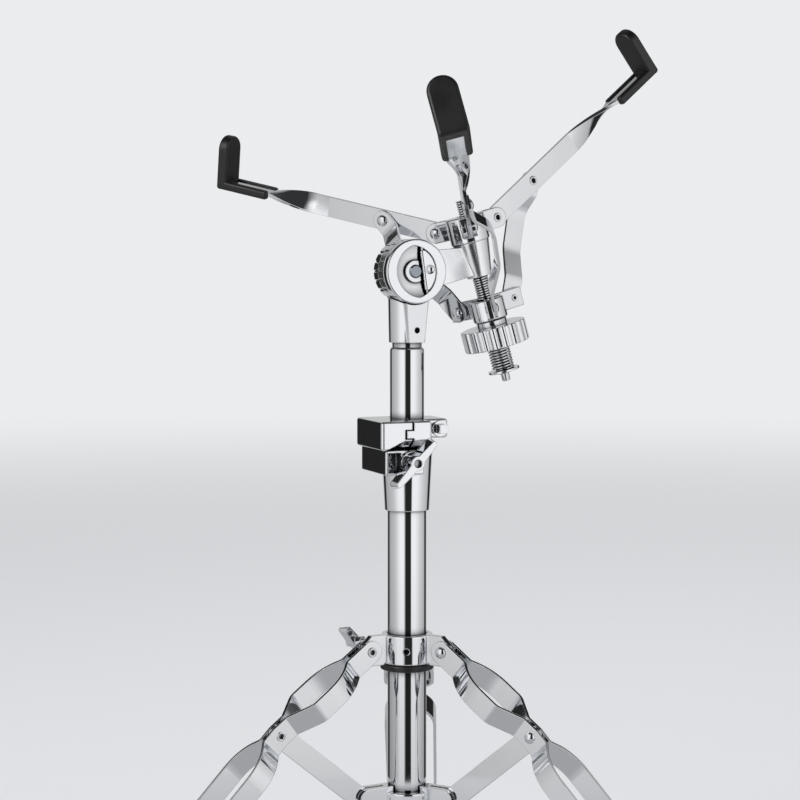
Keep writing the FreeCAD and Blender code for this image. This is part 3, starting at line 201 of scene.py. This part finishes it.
def surface(name, colour, metallic, roughness, smudge_mm, grain_mm, relief_mm, edge_mm,
            corner=PAINTED_SHADE, **sockets):
    """Material of one colour with painted shade darkening it in corners, with uneven gloss, a faint relief and
    rounded edges.
    """
    material = new_material(name)
    tree = material.node_tree
    place = add(tree, "ShaderNodeTexCoord").outputs["Object"]
    smudge = add(tree, "ShaderNodeTexNoise", {
        "Vector": place, "Scale": per_metre(smudge_mm), "Detail": SMUDGE_DETAIL})
    gloss = add(tree, "ShaderNodeMapRange", {
        "Value": smudge.outputs["Fac"], "From Min": SMUDGE_LOW, "From Max": SMUDGE_HIGH,
        "To Min": roughness[0], "To Max": roughness[1]})
    grain = add(tree, "ShaderNodeTexNoise", {
        "Vector": place, "Scale": per_metre(grain_mm), "Detail": GRAIN_DETAIL})
    edge = add(tree, "ShaderNodeBevel", {"Radius": edge_mm * MM}, samples=EDGE_SAMPLES)
    relief = add(tree, "ShaderNodeBump", {
        "Height": grain.outputs["Fac"], "Strength": 1.0, "Distance": relief_mm * MM,
        "Normal": edge.outputs["Normal"]})
    # painted shade: the corner argument sets how the colour turns towards the dark corner colour where ambient
    # occlusion finds little open view, in corners, recesses and joints
    reach_mm, dark, clear = corner
    view = add(tree, "ShaderNodeAmbientOcclusion", {"Distance": reach_mm * MM}, samples=PAINTED_SHADE_SAMPLES)
    open_share = add(tree, "ShaderNodeMapRange", {
        "Value": view.outputs["AO"], "From Min": dark, "From Max": clear})
    # a colour mix has its factor, its two colours and its result at these places
    painted_shade_tone = add(tree, "ShaderNodeMix", {
        0: open_share.outputs["Result"], 6: linear(PAINTED_SHADE_COLOUR), 7: linear(colour)}, data_type="RGBA")
    shader = add(tree, "ShaderNodeBsdfPrincipled", {
        "Base Color": painted_shade_tone.outputs[2], "Metallic": metallic, "Roughness": gloss.outputs["Result"],
        "Normal": relief.outputs["Normal"], **sockets})
    add(tree, "ShaderNodeOutputMaterial", {"Surface": shader.outputs["BSDF"]})
    return material


# Finishes

def chrome_tube():
    """Bright chrome on drawn tube: a mirror with the faintest haze."""
    return surface("chrome_plated_tube", "#EBEDF0", metallic=1.0, roughness=(0.02, 0.05), smudge_mm=40,
                   grain_mm=30, relief_mm=0.004, edge_mm=0.4, corner=TUBE_PAINTED_SHADE)


def chrome_strip():
    """Bright chrome on pressed steel strip: nearly a mirror, a little wavy from rolling."""
    return surface("chrome_plated_strip", "#E9EBEE", metallic=1.0, roughness=(0.04, 0.10), smudge_mm=25,
                   grain_mm=18, relief_mm=0.012, edge_mm=0.5)


def chrome_casting():
    """Bright chrome on zinc castings: a mirror over a slightly uneven polished surface."""
    return surface("chrome_plated_casting", "#EAECEF", metallic=1.0, roughness=(0.03, 0.08), smudge_mm=12,
                   grain_mm=9, relief_mm=0.010, edge_mm=1.0, corner=CASTING_PAINTED_SHADE)


def chrome_cup():
    """Bright chrome on the handle's cup: a mirror with painted shade that darkens its colour towards the depth of
    its recess.
    """
    return surface("chrome_plated_cup", "#EAECEF", metallic=1.0, roughness=(0.03, 0.08), smudge_mm=12,
                   grain_mm=9, relief_mm=0.010, edge_mm=1.0, corner=CUP_PAINTED_SHADE)


def satin_casting():
    """Satin chrome on the tilter's arm: a soft white gleam in which no line is mirrored sharply."""
    return surface("satin_chrome_casting", "#EEEFF1", metallic=1.0, roughness=(0.20, 0.28), smudge_mm=12,
                   grain_mm=9, relief_mm=0.010, edge_mm=1.0, corner=CASTING_PAINTED_SHADE)


def zinc_steel():
    """Zinc-plated steel of screws and the tilter bolt: greyer and duller than chrome."""
    return surface("zinc_plated_steel", "#9297A1", metallic=1.0, roughness=(0.14, 0.26), smudge_mm=4,
                   grain_mm=1.2, relief_mm=0.010, edge_mm=0.3)


def nickel_steel():
    """Nickel-plated steel of the spring and the threaded rod: bright, a little softer than chrome."""
    return surface("nickel_plated_steel", "#DADBDC", metallic=1.0, roughness=(0.08, 0.16), smudge_mm=5,
                   grain_mm=2.0, relief_mm=0.006, edge_mm=0.1)


def black_oxide_steel():
    """Blackened steel of the socket screws: near black, with a dull metal gleam."""
    return surface("black_oxide_steel", "#2A2B2D", metallic=1.0, roughness=(0.28, 0.42), smudge_mm=3,
                   grain_mm=1.0, relief_mm=0.008, edge_mm=0.2)


def moulded_rubber():
    """Black moulded rubber: satin, with a fine stipple that breaks up the highlight."""
    return surface("moulded_rubber", "#0C0C0D", metallic=0.0, roughness=(0.40, 0.56), smudge_mm=14,
                   grain_mm=0.9, relief_mm=0.04, edge_mm=0.8, IOR=1.52)


def black_nylon():
    """Black nylon ring: smoother than rubber."""
    return surface("black_nylon", "#101012", metallic=0.0, roughness=(0.30, 0.42), smudge_mm=10,
                   grain_mm=1.5, relief_mm=0.02, edge_mm=0.4, IOR=1.53)


def grey_nylon():
    """Grey nylon bush inside the clamp's mouth."""
    return surface("grey_nylon", "#55585C", metallic=0.0, roughness=(0.35, 0.48), smudge_mm=10,
                   grain_mm=1.5, relief_mm=0.02, edge_mm=0.3, IOR=1.53)


FINISHES = {
    "chrome": chrome_strip(),
    "cast_chrome": chrome_casting(),
    "steel": zinc_steel(),
    "rubber": moulded_rubber(),
    "black_nylon": black_nylon(),
    "grey_nylon": grey_nylon(),
}
TUBE_FINISH = chrome_tube()
OWN_FINISHES = {
    "base_tube": TUBE_FINISH,
    "upper_tube": TUBE_FINISH,
    "lock_screw": FINISHES["chrome"],
    "handle_cup": chrome_cup(),
    "tilter_arm": satin_casting(),
}
NICKEL_FINISH = nickel_steel()
SCREW_FINISH = black_oxide_steel()


def wear(piece, material):
    """Gives a piece one material all over."""
    piece.data.materials.clear()
    piece.data.materials.append(material)


def dress_solids():
    """Gives each solid its own finish, or the finish of its slot."""
    slots = {entry["node"]: entry["material_slot"] for entry in frame["record"]["subparts"]}
    for name, node in frame["nodes"].items():
        wear(node, OWN_FINISHES.get(name, FINISHES[slots[name]]))


# Threaded rod, spring and socket screws

joints = {joint["name"]: joint for joint in frame["joints"]}
rod_up = Vector(joints["slider_slide"]["axis"])
rod_middle = Vector(joints["knob_turn"]["pos_m"]) - rod_up * KNOB_TOP


def deselect():
    """Leaves nothing selected, so that the operators act on the new piece alone."""
    bpy.ops.object.select_all(action="DESELECT")


def apply_modifiers(piece):
    """Keeps the work of a piece's modifiers in its mesh, in their order."""
    for modifier in list(piece.modifiers):
        bpy.ops.object.modifier_apply(modifier=modifier.name)


def add_chamfer(piece, width):
    """Rounds a piece's edges by a modifier."""
    chamfer = piece.modifiers.new("chamfer", "BEVEL")
    chamfer.width = width
    chamfer.segments = CHAMFER_STEPS


def place_along(piece, origin, direction):
    """Turns a piece built along +Z to a direction, moves it to its place and keeps that in its mesh."""
    turn = direction.to_track_quat("Z", "Y").to_matrix().to_4x4()
    piece.matrix_world = Matrix.Translation(origin) @ turn
    bpy.ops.object.transform_apply(location=True, rotation=True, scale=True)


def screw_sweep(piece, climb, turns, steps):
    """Sweeps a profile round Z in a helix, and stays in edit mode with all of it selected."""
    sweep = piece.modifiers.new("helix", "SCREW")
    sweep.angle = 2 * math.pi
    sweep.screw_offset = climb
    sweep.iterations = turns
    sweep.steps = steps
    sweep.render_steps = steps
    apply_modifiers(piece)
    bpy.ops.object.mode_set(mode="EDIT")
    bpy.ops.mesh.select_all(action="SELECT")
    bpy.ops.mesh.remove_doubles(threshold=MERGE_DISTANCE)


def face_outwards():
    """Turns all faces outwards and leaves edit mode."""
    bpy.ops.mesh.select_all(action="SELECT")
    bpy.ops.mesh.normals_make_consistent(inside=False)
    bpy.ops.object.mode_set(mode="OBJECT")


def build_thread(radius, low, high):
    """Length of rod along Z with a rolled thread and flat ends."""
    turns = math.ceil((high - low) / THREAD_PITCH) + THREAD_SPARE
    start = low - (THREAD_SPARE - 1) * THREAD_PITCH
    root = radius - THREAD_DEPTH
    # one groove of the thread: up its flank, over the narrow crest and down again
    groove = [(root, 0), (radius, CREST_START), (radius, CREST_END), (root, 1)]
    deselect()
    bpy.ops.mesh.primitive_circle_add(vertices=len(groove), radius=radius)
    thread = bpy.context.object
    for vertex, (reach, share) in zip(thread.data.vertices, groove):
        vertex.co = (reach, 0, start + share * THREAD_PITCH)
    bpy.ops.object.mode_set(mode="EDIT")
    bpy.ops.mesh.select_mode(type="EDGE")
    bpy.ops.mesh.select_all(action="DESELECT")
    bpy.ops.object.mode_set(mode="OBJECT")
    # the edge that closes the circle goes
    for edge in thread.data.edges:
        edge.select = set(edge.vertices) == {0, len(groove) - 1}
    bpy.ops.object.mode_set(mode="EDIT")
    bpy.ops.mesh.delete(type="EDGE_FACE")
    bpy.ops.object.mode_set(mode="OBJECT")
    screw_sweep(thread, THREAD_PITCH, turns, THREAD_STEPS)
    bpy.ops.mesh.bisect(plane_co=(0, 0, low), plane_no=(0, 0, 1), use_fill=True, clear_inner=True)
    bpy.ops.mesh.select_all(action="SELECT")
    bpy.ops.mesh.bisect(plane_co=(0, 0, high), plane_no=(0, 0, 1), use_fill=True, clear_outer=True)
    face_outwards()
    return thread


def build_threaded_rod():
    """Rod with a rolled thread, its thinner end above the hub, and the stub for the washer and clip."""
    rod = build_thread(ROD_RADIUS, ROD_SHOULDER, HUB_TOP)
    rod.name = "threaded_rod"
    tip = build_thread(ROD_TIP_RADIUS, HUB_TOP, ROD_TOP)
    deselect()
    height = ROD_SHOULDER - ROD_END
    bpy.ops.mesh.primitive_cylinder_add(vertices=ROD_STUB_CORNERS, radius=ROD_STUB_RADIUS, depth=height,
                                        location=(0, 0, ROD_END + height / 2))
    stub = bpy.context.object
    add_chamfer(stub, ROD_CHAMFER)
    apply_modifiers(stub)
    tip.select_set(True)
    rod.select_set(True)
    bpy.context.view_layer.objects.active = rod
    bpy.ops.object.join()
    bpy.ops.object.shade_smooth_by_angle(angle=THREAD_SMOOTH)
    place_along(rod, rod_middle, rod_up)
    wear(rod, NICKEL_FINISH)
    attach(rod, "head")
    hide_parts("basket_rod")


def build_spring():
    """Coil spring between the washer and the knob's well; its wire's ends are closed flat."""
    wire = SPRING_WIRE / 2
    low = ROD_SHOULDER + wire
    climb = (SPRING_TOP - wire - low) / SPRING_TURNS
    deselect()
    bpy.ops.mesh.primitive_circle_add(vertices=WIRE_CORNERS, radius=wire, location=(SPRING_RADIUS, 0, low),
                                      rotation=(math.pi / 2, 0, 0))
    spring = bpy.context.object
    spring.name = "rod_coil_spring"
    bpy.ops.object.transform_apply(location=True, rotation=True, scale=True)
    screw_sweep(spring, climb, SPRING_TURNS, COIL_STEPS)
    bpy.ops.mesh.fill_holes(sides=0)
    face_outwards()
    bpy.ops.object.shade_smooth_by_angle(angle=WIRE_SMOOTH)
    place_along(spring, rod_middle, rod_up)
    wear(spring, NICKEL_FINISH)
    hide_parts("rod_spring")
    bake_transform(spring)


def build_socket_screw(name, node, body):
    """Set screw with a hexagon socket, pointing out from the tubes' axis, in place of its plain solid."""
    low, high = (Vector(corner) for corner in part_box(node))
    middle = (low + high) / 2
    size = high - low
    out = Vector((middle.x, middle.y, 0)).normalized()
    radius = size.z / 2
    # the screw lies at an angle in its box, so its ends take up a part of the box's longer side
    if abs(out.x) > abs(out.y):
        length = (size.x - 2 * radius * abs(out.y)) / abs(out.x)
    else:
        length = (size.y - 2 * radius * abs(out.x)) / abs(out.y)
    deselect()
    bpy.ops.mesh.primitive_cylinder_add(vertices=6, radius=SOCKET_SHARE * radius, depth=2 * SOCKET_DEPTH,
                                        location=(0, 0, length / 2))
    socket = bpy.context.object
    bpy.ops.mesh.primitive_cylinder_add(vertices=SCREW_CORNERS, radius=radius, depth=length)
    screw = bpy.context.object
    screw.name = name
    add_chamfer(screw, SCREW_CHAMFER)
    bore = screw.modifiers.new("socket", "BOOLEAN")
    bore.object = socket
    bore.operation = "DIFFERENCE"
    apply_modifiers(screw)
    bpy.data.objects.remove(socket)
    bpy.ops.object.shade_smooth_by_angle(angle=SCREW_SMOOTH)
    place_along(screw, middle, out)
    wear(screw, SCREW_FINISH)
    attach(screw, body)
    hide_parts(node)


# Studio: pale floor, pale surroundings and a white wall with dark gaps for the chrome to mirror

def build_floor():
    """Pale paper that keeps the shadow and fades, further off, into the air behind it."""
    deselect()
    bpy.ops.mesh.primitive_plane_add(size=FLOOR_SIZE, location=(0, 0, 0))
    floor = bpy.context.object
    floor.name = "studio_floor"
    material = new_material("studio_paper")
    tree = material.node_tree
    place = add(tree, "ShaderNodeTexCoord").outputs["Object"]
    reach = add(tree, "ShaderNodeVectorMath", {0: place}, operation="LENGTH")
    far = add(tree, "ShaderNodeMapRange", {
        "Value": reach.outputs["Value"], "From Min": FLOOR_NEAR, "From Max": FLOOR_FAR},
        interpolation_type="SMOOTHSTEP")
    paper = add(tree, "ShaderNodeBsdfPrincipled", {
        "Base Color": linear(PAPER_COLOUR), "Roughness": PAPER_ROUGHNESS})
    air = add(tree, "ShaderNodeEmission", {"Color": linear(AIR_COLOUR), "Strength": AIR_LEVEL})
    blend = add(tree, "ShaderNodeMixShader", {
        0: far.outputs["Result"], 1: paper.outputs["BSDF"], 2: air.outputs["Emission"]})
    add(tree, "ShaderNodeOutputMaterial", {"Surface": blend.outputs["Shader"]})
    wear(floor, material)


def mirrored_only(screen):
    """Makes a screen that only reflections see."""
    screen.visible_camera = False
    screen.visible_diffuse = False
    screen.visible_shadow = False
    screen.visible_transmission = False


def build_wall():
    """Ring wall: white sails with dark gaps, darker towards the ceiling, as metal is lit."""
    deselect()
    bpy.ops.mesh.primitive_cylinder_add(vertices=ROUND_CORNERS, radius=WALL_RADIUS, depth=WALL_HEIGHT,
                                        end_fill_type="NOTHING", location=(0, 0, WALL_HEIGHT / 2))
    wall = bpy.context.object
    wall.name = "studio_wall"
    bpy.ops.object.transform_apply(location=True)
    material = new_material("studio_sails")
    tree = material.node_tree
    place = add(tree, "ShaderNodeTexCoord").outputs["Object"]
    # turned so that the ramp's middle is the wall on the camera's side
    turned = add(tree, "ShaderNodeMapping", {"Vector": place, "Rotation": (0, 0, CAMERA_TURN)})
    split = add(tree, "ShaderNodeSeparateXYZ", {"Vector": turned.outputs["Vector"]})
    back = add(tree, "ShaderNodeMath", {0: split.outputs["Y"], 1: -1.0}, operation="MULTIPLY")
    angle = add(tree, "ShaderNodeMath", {0: split.outputs["X"], 1: back.outputs[0]}, operation="ARCTAN2")
    share = add(tree, "ShaderNodeMapRange", {
        "Value": angle.outputs[0], "From Min": -math.pi, "From Max": math.pi})
    around = add(tree, "ShaderNodeValToRGB", {"Fac": share.outputs["Result"]},
                 stops=[(0.5 + degrees / 360, level) for degrees, level in WALL_SAILS])
    height = add(tree, "ShaderNodeMath", {0: split.outputs["Z"], 1: WALL_HEIGHT}, operation="DIVIDE")
    levels = [(0, WALL_FOOT_LEVEL), (WALL_FOOT, 1.0), (WALL_FADE, 1.0), (WALL_HEIGHT, CEILING_LEVEL)]
    upward = add(tree, "ShaderNodeValToRGB", {"Fac": height.outputs[0]},
                 stops=[(place_up / WALL_HEIGHT, level) for place_up, level in levels])
    glow = add(tree, "ShaderNodeEmission", {
        "Color": around.outputs["Color"], "Strength": upward.outputs["Color"]})
    add(tree, "ShaderNodeOutputMaterial", {"Surface": glow.outputs["Emission"]})
    wear(wall, material)
    mirrored_only(wall)


def build_card(name, height, middle, rim):
    """Round card above the wall or on the floor, with its levels in the middle and at its rim."""
    deselect()
    bpy.ops.mesh.primitive_circle_add(vertices=ROUND_CORNERS, radius=WALL_RADIUS, fill_type="NGON",
                                      location=(0, 0, height))
    card = bpy.context.object
    card.name = name
    material = new_material(name)
    tree = material.node_tree
    place = add(tree, "ShaderNodeTexCoord").outputs["Object"]
    reach = add(tree, "ShaderNodeVectorMath", {0: place}, operation="LENGTH")
    level = add(tree, "ShaderNodeMapRange", {
        "Value": reach.outputs["Value"], "From Min": CARD_MIDDLE, "From Max": WALL_RADIUS,
        "To Min": middle, "To Max": rim}, interpolation_type="SMOOTHSTEP")
    glow = add(tree, "ShaderNodeEmission", {
        "Color": linear(AIR_COLOUR), "Strength": level.outputs["Result"]})
    add(tree, "ShaderNodeOutputMaterial", {"Surface": glow.outputs["Emission"]})
    wear(card, material)
    mirrored_only(card)


def build_world():
    """Pale surroundings for the eye and for reflections, and a dimmer fill for shading."""
    world = bpy.data.worlds.new("studio_air")
    bpy.context.scene.world = world
    world.use_nodes = True
    tree = world.node_tree
    tree.nodes.clear()
    path = add(tree, "ShaderNodeLightPath")
    mirrored = add(tree, "ShaderNodeMath", {
        0: path.outputs["Is Camera Ray"], 1: path.outputs["Is Glossy Ray"]}, operation="MAXIMUM")
    seen = add(tree, "ShaderNodeMath", {
        0: mirrored.outputs[0], 1: path.outputs["Is Transmission Ray"]}, operation="MAXIMUM")
    strength = add(tree, "ShaderNodeMapRange", {
        "Value": seen.outputs[0], "To Min": FILL_LEVEL, "To Max": AIR_LEVEL})
    glow = add(tree, "ShaderNodeBackground", {
        "Color": linear(AIR_COLOUR), "Strength": strength.outputs["Result"]})
    add(tree, "ShaderNodeOutputWorld", {"Surface": glow.outputs["Background"]})


def build_lamp(name, turn, height, distance, side, power):
    """Soft square lamp at an angle round the column from the camera, aimed at the column."""
    data = bpy.data.lights.new(name, "AREA")
    data.shape = "SQUARE"
    data.size = side
    data.energy = power
    lamp = bpy.data.objects.new(name, data)
    bpy.context.scene.collection.objects.link(lamp)
    angle = math.radians(turn) - CAMERA_TURN
    lamp.location = (distance * math.sin(angle), -distance * math.cos(angle), height)
    aim = LAMP_AIM - lamp.location
    lamp.rotation_euler = aim.to_track_quat("-Z", "Y").to_euler()


def build_camera():
    """Camera with the photograph's view: level with the tilter, turned and looking slightly down."""
    data = bpy.data.cameras.new("camera")
    data.sensor_width = SENSOR_WIDTH
    data.lens = FOCAL_PIXELS * SENSOR_WIDTH / IMAGE_SIZE
    camera = bpy.data.objects.new("camera", data)
    bpy.context.scene.collection.objects.link(camera)
    ahead = Vector((math.sin(CAMERA_TURN), math.cos(CAMERA_TURN), 0))
    right = Vector((math.cos(CAMERA_TURN), -math.sin(CAMERA_TURN), 0))
    camera.location = -CAMERA_DISTANCE * ahead + CAMERA_SHIFT * right + Vector((0, 0, CAMERA_HEIGHT))
    look = ahead * math.cos(CAMERA_PITCH) - Vector((0, 0, math.sin(CAMERA_PITCH)))
    camera.rotation_euler = look.to_track_quat("-Z", "Y").to_euler()
    bpy.context.scene.camera = camera


dress_solids()
build_threaded_rod()
build_spring()
build_socket_screw("neck_socket_screw", "neck_screw", "column")
build_socket_screw("collar_socket_screw", "collar_set_screw", "collar")
build_floor()
build_wall()
build_card("studio_ceiling", WALL_HEIGHT, CEILING_LEVEL, CEILING_LEVEL)
build_card("studio_ground_card", GROUND_CARD_HEIGHT, GROUND_MIDDLE_LEVEL, GROUND_RIM_LEVEL)
build_world()
for lamp_name, lamp_values in LAMPS.items():
    build_lamp(lamp_name, *lamp_values)
build_camera()
bpy.context.scene.view_settings.view_transform = "Standard"
